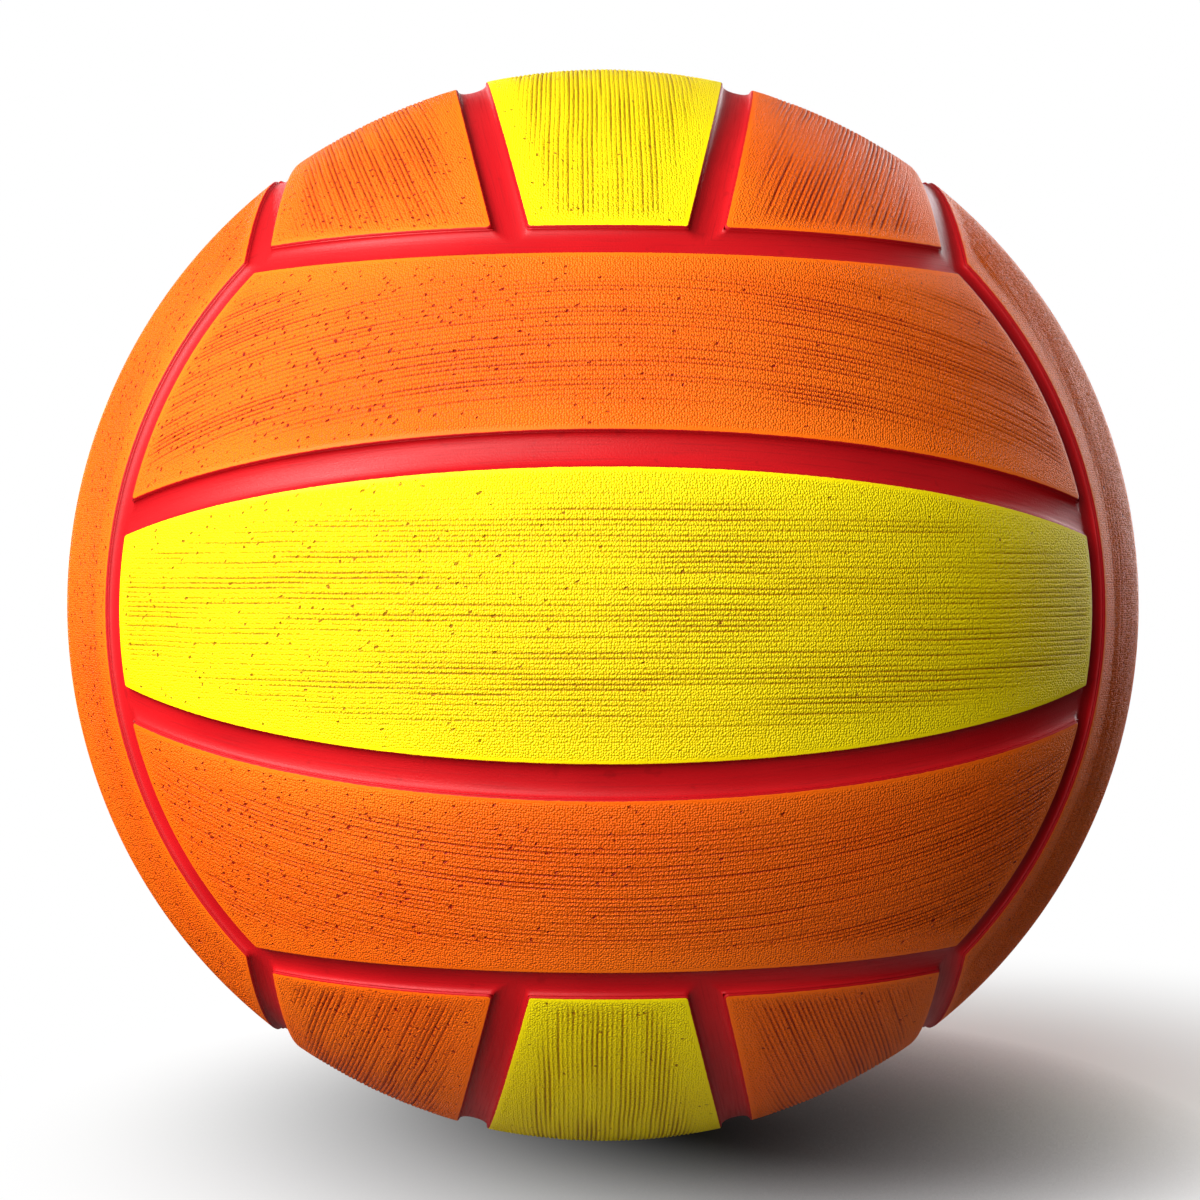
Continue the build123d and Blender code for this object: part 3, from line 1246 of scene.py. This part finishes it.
@dataclass
class SeamCarcass:
    """The red carcass: ribs hollowed into channels, on a shell that beds the panels."""

    RUN_NAME = "seam_run"

    strips: list[Strip]
    rib_drop: float = 0.32 * MM
    channel_depth: float = 1.45 * MM
    channel_steps: int = 9
    fullness: float = 2.3
    bed_depth: float = 1.55 * MM
    shell_thickness: float = 0.45 * MM
    shell_divisions: int = 6
    longest_run: float = 520 * MM
    band_width: float = 4 * MM
    band_fill: float = 0.97
    weld: float = 0.02 * MM

    def profile(self) -> Iterator[tuple[float, float]]:
        """Gaps from the middle of the seam and depths under the ball's surface, round a rib."""
        gap = self.strips[0].layout.panel_gap
        for step in range(self.channel_steps + 1):
            share = math.sin(math.pi / 2 * step / self.channel_steps)
            rise = (1 - share**self.fullness) ** (1 / self.fullness)
            yield gap * share, self.rib_drop + (self.channel_depth - self.rib_drop) * rise
        yield gap, self.bed_depth
        yield 0.0, self.bed_depth

    def build(self) -> BMesh:
        """Model the ribs along all seams, weld them and lay the shell under them.

        Returns:
            The carcass's bmesh.
        """
        bm = bmesh.new()
        run_map = bm.loops.layers.uv.new(self.RUN_NAME)
        for number, strip in enumerate(self.strips):
            rings = self.sweep(bm, strip)
            self.map_run(bm, run_map, rings, number)
        bmesh.ops.remove_doubles(bm, verts=bm.verts[:], dist=self.weld)
        bmesh.ops.recalc_face_normals(bm, faces=bm.faces[:])
        self.add_shell(bm)
        return bm

    def sweep(self, bm: BMesh, strip: Strip) -> list[list[BMVert]]:
        """Sweep half of a rib's outline round a strip.

        Args:
            bm: The bmesh to add to.
            strip: The strip that the rib runs round.

        Returns:
            The rings of vertices, one to a point of the outline.
        """
        rings: list[list[BMVert]] = []
        for gap, depth in self.profile():
            points = strip.loop(strip.layout.ball_radius - depth, gap)
            if rings:
                rings.append(extrude_loop(bm, rings[-1]))
            else:
                rings.append([bm.verts.new(point) for point in points])
                for pair in ring_pairs(rings[0]):
                    bm.edges.new(pair)
            for vert, point in zip(rings[-1], points):
                vert.co = point
        return rings

    def map_run(self, bm: BMesh, run_map: object, rings: list[list[BMVert]], number: int) -> None:
        """Map a rib's faces along and across its seam, in a band of its own.

        Args:
            bm: The bmesh that holds the rib.
            run_map: The map to fill.
            rings: The rib's rings of vertices.
            number: The band's number.
        """
        step = self.strips[0].layout.loop_step / self.longest_run
        bands = len(self.strips)
        rows = len(rings) - 1
        for row, (near_ring, far_ring) in enumerate(zip(rings, rings[1:])):
            count = len(near_ring)
            for place in range(count):
                after = (place + 1) % count
                spots = {
                    near_ring[place]: (place, row),
                    near_ring[after]: (place + 1, row),
                    far_ring[after]: (place + 1, row + 1),
                    far_ring[place]: (place, row + 1),
                }
                face = bm.faces.get(tuple(spots))
                for loop in face.loops:
                    along, across = spots[loop.vert]
                    share = self.band_fill * across / rows
                    loop[run_map].uv = (along * step, (number + share) / bands)

    def add_shell(self, bm: BMesh) -> None:
        """Add the round shell under the ribs, as an outer and an inner skin.

        Args:
            bm: The carcass's bmesh.
        """
        outside = self.strips[0].layout.ball_radius - self.bed_depth
        for radius in (outside, outside - self.shell_thickness):
            made = bmesh.ops.create_icosphere(bm, subdivisions=self.shell_divisions, radius=radius)
            if radius < outside:
                faces = {face for vert in made["verts"] for face in vert.link_faces}
                bmesh.ops.reverse_faces(bm, faces=list(faces))


@dataclass
class ValveSeat:
    """The round seat of the valve, through the back middle panel and the carcass."""

    axis: Vector
    ball_radius: float
    hole_radius: float = 5.1 * MM
    flare: float = 0.45 * MM
    flare_steps: int = 4
    reach: float = 4 * MM
    segments: int = 72
    plain_ring: Band = (7 * MM, 11 * MM)
    weld: float = 0.001 * MM

    def distance(self, unit: np.ndarray) -> np.ndarray:
        """Distance of directions from the valve's axis, along the ball's surface."""
        return turn_from(unit, self.axis) * self.ball_radius

    def cutter(self) -> Object:
        """Model what the seat takes away: a round plug with a flared mouth.

        Returns:
            The plug as an object of its own.
        """
        side = self.axis.orthogonal().normalized()
        rim_height = math.sqrt(self.ball_radius**2 - (self.hole_radius + self.flare) ** 2)
        mouth = self.hole_radius + 2 * self.flare
        foot, top = self.ball_radius - self.reach, self.ball_radius + self.reach
        outline = [(0.0, foot), (self.hole_radius, foot)]
        for step in range(self.flare_steps + 1):
            turn = math.pi / 2 * step / self.flare_steps
            reach = self.hole_radius + self.flare * (1 - math.cos(turn))
            outline.append((reach, rim_height - self.flare * (1 - math.sin(turn))))
        outline += [(mouth, rim_height), (mouth, top), (0.0, top)]
        bm = bmesh.new()
        verts = [bm.verts.new(side * out + self.axis * up) for out, up in outline]
        edges = [bm.edges.new(pair) for pair in zip(verts, verts[1:])]
        bmesh.ops.spin(
            bm,
            geom=verts + edges,
            cent=(0, 0, 0),
            axis=self.axis,
            angle=2 * math.pi,
            steps=self.segments,
            use_merge=True,
        )
        bmesh.ops.remove_doubles(bm, verts=bm.verts[:], dist=self.weld)
        bmesh.ops.recalc_face_normals(bm, faces=bm.faces[:])
        return put_in_scene("valve_plug", mesh_from(bm, "valve_plug"))

    def cut(self, *pieces: Object) -> None:
        """Cut the seat into pieces.

        Args:
            pieces: The pieces that the valve goes through.
        """
        plug = self.cutter()
        for piece in pieces:
            modifier = piece.modifiers.new("valve_seat", "BOOLEAN")
            modifier.operation = "DIFFERENCE"
            modifier.solver = "EXACT"
            modifier.object = plug
            bpy.context.view_layer.update()
            graph = bpy.context.evaluated_depsgraph_get()
            done = bpy.data.meshes.new_from_object(piece.evaluated_get(graph))
            piece.modifiers.clear()
            old = piece.data
            piece.data = done
            done.name = old.name + "_seated"
            bpy.data.meshes.remove(old)
        bpy.data.objects.remove(plug)


@dataclass(frozen=True)
class FloorFinish:
    """Pale floor with painted shade close under the ball, which further off glows plain white for the
    camera.
    """

    name: str = "floor_white"
    shadow_place: Band = (0.06, 0.025)
    white_band: Band = (0.05, 0.2)
    lift_band: Band = (0.03, 0.2)
    lift: float = 0.02
    # Painted shade close under the ball: its reach, samples, steepness and darkest grey.
    painted_shade_reach: float = 0.06
    painted_shade_samples: int = 8
    painted_shade_power: float = 2.2
    painted_shade_grey: float = 0.05
    floor_grey: float = 0.75
    bounce_grey: float = 0.3
    roughness: float = 0.9

    def material(self, height: float) -> Material:
        """Make the finish as a material.

        Args:
            height: Height of the floor.

        Returns:
            The material.
        """
        material, sheet, shader = new_material(self.name)
        # The floor glows white for the camera, faintly from near a spot right behind the ball where the
        # lamps' shadow falls and fully further off, while its own colour fades to black.
        shadow = (*self.shadow_place, height)
        away = sheet.vector("DISTANCE", sheet.object_place(), shadow).outputs["Value"]
        far = sheet.fade(away, *self.white_band)
        seen = sheet.add("ShaderNodeLightPath").outputs["Is Camera Ray"]
        # Painted shade: the floor is darkened for the camera where the ball is close above it.
        reach = {"Distance": self.painted_shade_reach}
        open_sky = sheet.add("ShaderNodeAmbientOcclusion", reach, samples=self.painted_shade_samples)
        painted_contact_shade = sheet.math("POWER", open_sky.outputs["AO"], self.painted_shade_power)
        shaded = sheet.mix(painted_contact_shade, grey(self.painted_shade_grey), grey(self.floor_grey))
        pale = sheet.mix(seen, grey(self.bounce_grey), shaded)
        lift = sheet.math("MULTIPLY", sheet.fade(away, *self.lift_band), self.lift)
        inputs = {
            "Base Color": sheet.mix(far, pale, grey(0.0)),
            "Roughness": self.roughness,
            "Specular IOR Level": 0.0,
            "Emission Color": grey(1.0),
            "Emission Strength": sheet.math("MULTIPLY", seen, sheet.math("MAXIMUM", lift, far)),
        }
        sheet.fill(shader, inputs)
        return material


@dataclass(frozen=True)
class Lamp:
    """A square soft lamp that faces the ball."""

    name: str
    place: Spot
    size: float
    watts: float


@dataclass
class Studio:
    """Floor, soft lights, white surround and the camera.

    The lamps are a key at the left, a soft front, a rim at the right and one behind.
    """

    ball_radius: float
    camera_distance: float = 453.5 * MM
    camera_rise: float = math.radians(0.9)
    camera_turn: float = math.radians(-0.6)
    image_width: float = 1200.0
    focal_pixels: float = 2144.0
    ball_pixel: Band = (603.0, 605.1)
    sensor_width: float = 36.0
    surround_level: float = 0.12
    floor_reach: float = 6.0
    floor_parts: int = 8
    lamps: tuple[Lamp, ...] = (
        Lamp("key", (-1.1, -0.5, 0.7), size=0.6, watts=23),
        Lamp("front", (-0.6, -1.05, 0.34), size=0.9, watts=21),
        Lamp("rim", (0.8, 0.9, 0.36), size=0.8, watts=15),
        Lamp("back", (-0.3, 1.35, 0.25), size=0.9, watts=7),
    )

    def aim(self, holder: Object, place: Vector) -> None:
        """Put a lamp or the camera in a place and point it at the ball's centre."""
        holder.location = place
        holder.rotation_euler = (-place).to_track_quat("-Z", "Y").to_euler()

    def add_camera(self) -> None:
        """Add the camera at the ball's height, framed as the ball fills the picture."""
        data = bpy.data.cameras.new("camera")
        data.sensor_width = self.sensor_width
        data.lens = self.focal_pixels / self.image_width * self.sensor_width
        half = self.image_width / 2
        data.shift_x = (half - self.ball_pixel[0]) / self.image_width
        data.shift_y = (self.ball_pixel[1] - half) / self.image_width
        camera = put_in_scene("camera", data)
        level = math.cos(self.camera_rise)
        right, back = math.sin(self.camera_turn) * level, -math.cos(self.camera_turn) * level
        self.aim(camera, Vector((right, back, math.sin(self.camera_rise))) * self.camera_distance)
        bpy.context.scene.camera = camera

    def add_lights(self) -> None:
        """Add the lamps."""
        for lamp in self.lamps:
            data = bpy.data.lights.new(lamp.name, "AREA")
            data.size = lamp.size
            data.energy = lamp.watts
            self.aim(put_in_scene(lamp.name, data), Vector(lamp.place))

    def add_floor(self) -> None:
        """Add the floor that the ball stands on."""
        parts = self.floor_parts
        bm = bmesh.new()
        bmesh.ops.create_grid(bm, x_segments=parts, y_segments=parts, size=self.floor_reach)
        bmesh.ops.translate(bm, verts=bm.verts[:], vec=(0, 0, -self.ball_radius))
        mesh = mesh_from(bm, "floor")
        mesh.materials.append(FloorFinish().material(-self.ball_radius))
        floor = put_in_scene("floor", mesh)

    def add_surround(self) -> None:
        """Light the scene evenly, and show plain white to the camera and through clear pieces."""
        world = bpy.data.worlds.new("surround")
        bpy.context.scene.world = world
        world.use_nodes = True
        sheet = NodeSheet(world.node_tree)
        path = sheet.add("ShaderNodeLightPath").outputs
        seen = sheet.math("MAXIMUM", path["Is Camera Ray"], path["Is Transmission Ray"])
        strength = sheet.math("MULTIPLY_ADD", seen, 1 - self.surround_level, self.surround_level)
        background = world.node_tree.nodes["Background"]
        sheet.fill(background, {"Color": grey(1.0), "Strength": strength})

    def build(self) -> None:
        """Set up the whole studio."""
        self.add_camera()
        self.add_lights()
        self.add_floor()
        self.add_surround()
        bpy.context.scene.view_settings.view_transform = "Standard"


def lay_out_strips(layout: SeamLayout) -> list[Strip]:
    """List the strips of all faces.

    Args:
        layout: Sizes that place the seams.

    Returns:
        The eighteen strips, with the names of their solids.
    """
    strips = []
    for face in Face:
        normal, along, plus_name, minus_name = face.value
        out, way = Vector(normal), Vector(along)
        side = out.cross(way)
        title = face.name.lower()
        strips.append(Strip(f"{title}_{plus_name}_panel", way, side, out, Place.OUTER, layout))
        strips.append(Strip(f"{title}_middle_panel", way, side, out, Place.MIDDLE, layout))
        strips.append(Strip(f"{title}_{minus_name}_panel", -way, -side, out, Place.OUTER, layout))
    return strips


RED = linear(176, 12, 20)
# The panels' shade colours are painted shade, laid in the grooves, the gaps between pebbles and the
# pinholes.
ORANGE_RUBBER = PanelFinish(
    name="orange_panel_rubber",
    slot="outer_panel_rubber",
    base=linear(250, 102, 8),
    light=linear(253, 114, 12),
    shade=linear(140, 20, 2),
    seam=RED,
)
YELLOW_RUBBER = PanelFinish(
    name="yellow_panel_rubber",
    slot="middle_panel_rubber",
    base=linear(252, 222, 2),
    light=linear(255, 234, 4),
    shade=linear(160, 104, 0),
    seam=RED,
    pit_share=0.22,
)
PANELS_PER_FACE = 3
SEAM_BANDS = PANELS_PER_FACE * len(Face)
RED_RUBBER = ChannelFinish(
    name="red_channel_rubber",
    slot="seam_rubber",
    base=RED,
    light=linear(190, 18, 24),
    shade=linear(120, 6, 12),
    run_size=(SeamCarcass.longest_run / MM, SEAM_BANDS * SeamCarcass.band_width / MM, 0.0),
)
HIDDEN_FINISHES = {
    "thread_winding": MouldedFinish(
        name="winding_thread",
        base=linear(214, 208, 190),
        light=linear(236, 232, 220),
        shade=linear(160, 152, 132),
        streak_width=0.35 * MM,
        roughness=0.6,
    ),
    "bladder": MouldedFinish(
        name="bladder_rubber",
        base=linear(34, 33, 32),
        light=linear(52, 50, 48),
        shade=linear(20, 20, 20),
    ),
    "valve_housing": MouldedFinish(
        name="valve_rubber",
        base=linear(186, 20, 30),
        light=linear(206, 34, 42),
        shade=linear(140, 12, 22),
    ),
    "valve_core": MouldedFinish(
        name="valve_core_rubber",
        base=linear(40, 38, 36),
        light=linear(62, 58, 55),
        shade=linear(22, 21, 20),
    ),
}


def dress_kept_solids() -> None:
    """Give the solids that stay as they are their own finishes."""
    for name, finish in HIDDEN_FINISHES.items():
        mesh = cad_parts[name].data
        mesh.materials.clear()
        mesh.materials.append(finish.material())
        LOG.info("%s: kept solid, finish %s", name, finish.name)


def main() -> None:
    """Build the ball's panels, its carcass and the studio."""
    logging.basicConfig(level=logging.INFO, format="%(name)s %(message)s")
    radius = max(abs(value) for corner in CAD_BOX for value in corner)
    layout = SeamLayout(radius)
    strips = lay_out_strips(layout)
    valve = ValveSeat(Vector(Face.BACK.value[0]), radius)
    finishes = {Place.OUTER: ORANGE_RUBBER, Place.MIDDLE: YELLOW_RUBBER}
    materials = {place: finish.material() for place, finish in finishes.items()}
    seated = []
    for number, strip in enumerate(strips):
        holds_valve = strip.name == VALVE_PANEL
        panel = CoverPanel(strip, seed=number + 1, valve=valve if holds_valve else None)
        bm = panel.build()
        panel.spread_map(bm)
        finish = finishes[strip.place]
        piece = new_piece(bm, f"{strip.name}_cover", materials[strip.place], finish.slot, strip.name)
        if holds_valve:
            seated.append(piece)
    carcass = SeamCarcass(strips).build()
    seated.append(new_piece(carcass, "carcass_ribs", RED_RUBBER.material(), RED_RUBBER.slot, "carcass"))
    valve.cut(*seated)
    dress_kept_solids()
    Studio(radius).build()


if __name__ == "__main__":
    main()
